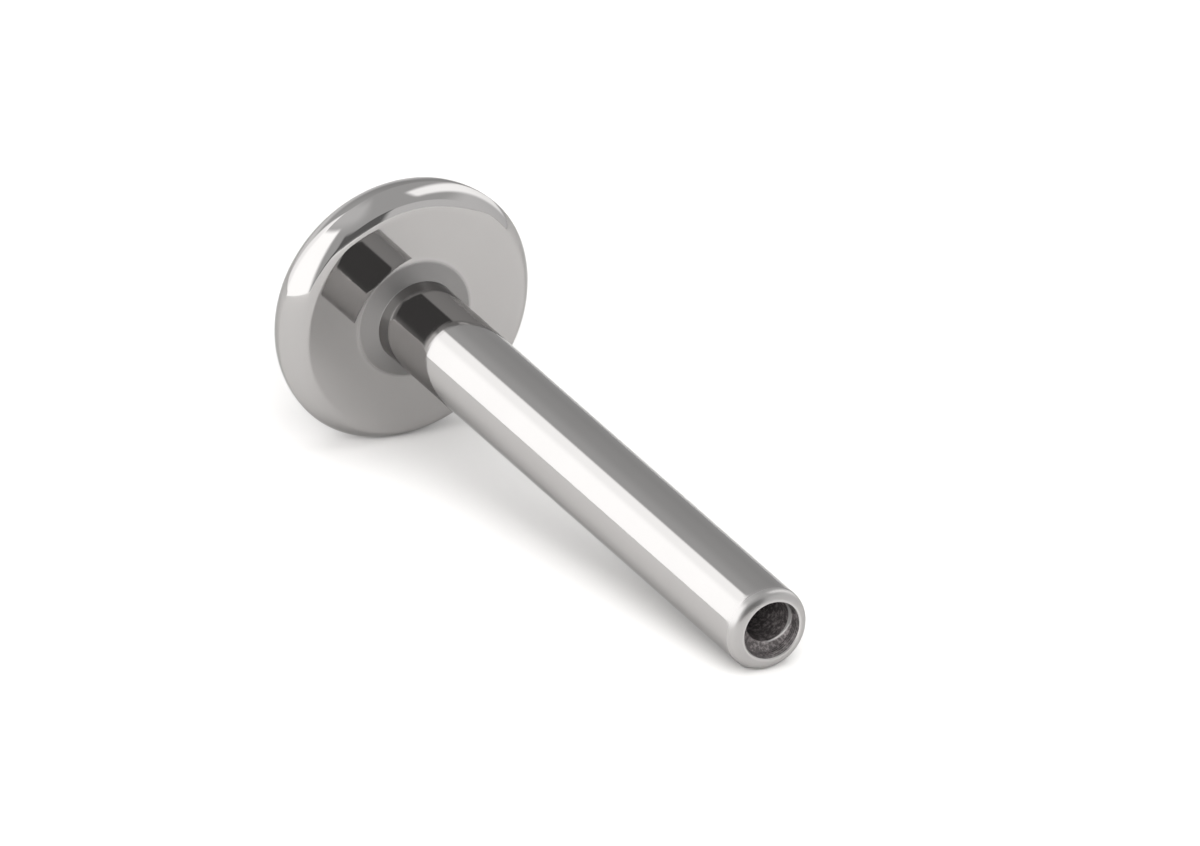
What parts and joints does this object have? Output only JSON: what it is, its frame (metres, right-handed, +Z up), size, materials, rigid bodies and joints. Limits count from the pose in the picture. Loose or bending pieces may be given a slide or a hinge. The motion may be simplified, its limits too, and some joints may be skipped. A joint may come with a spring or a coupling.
{
  "type": "labret stud",
  "caption": "Flat-backed body-jewellery post: a polished round disc on a slim straight post whose open tip has an internal thread for a screw-in top.",
  "frame": {"origin": "on the surface that the stud lies on, under the middle of its box", "axes": "+X along the post as seen from above, from the disc towards the open tip; +Z up; the tip dips 7.3 degrees below +X because the disc's rim and the tip's lower edge both rest on the surface"},
  "size_m": [0.011, 0.0038, 0.0038],
  "materials": {
    "polished_titanium": "high mirror polish outside, dark as-drilled metal inside the bore"
  },
  "bodies": {
    "root": {"labret_stud": "polished_titanium"}
  },
  "joints": []
}
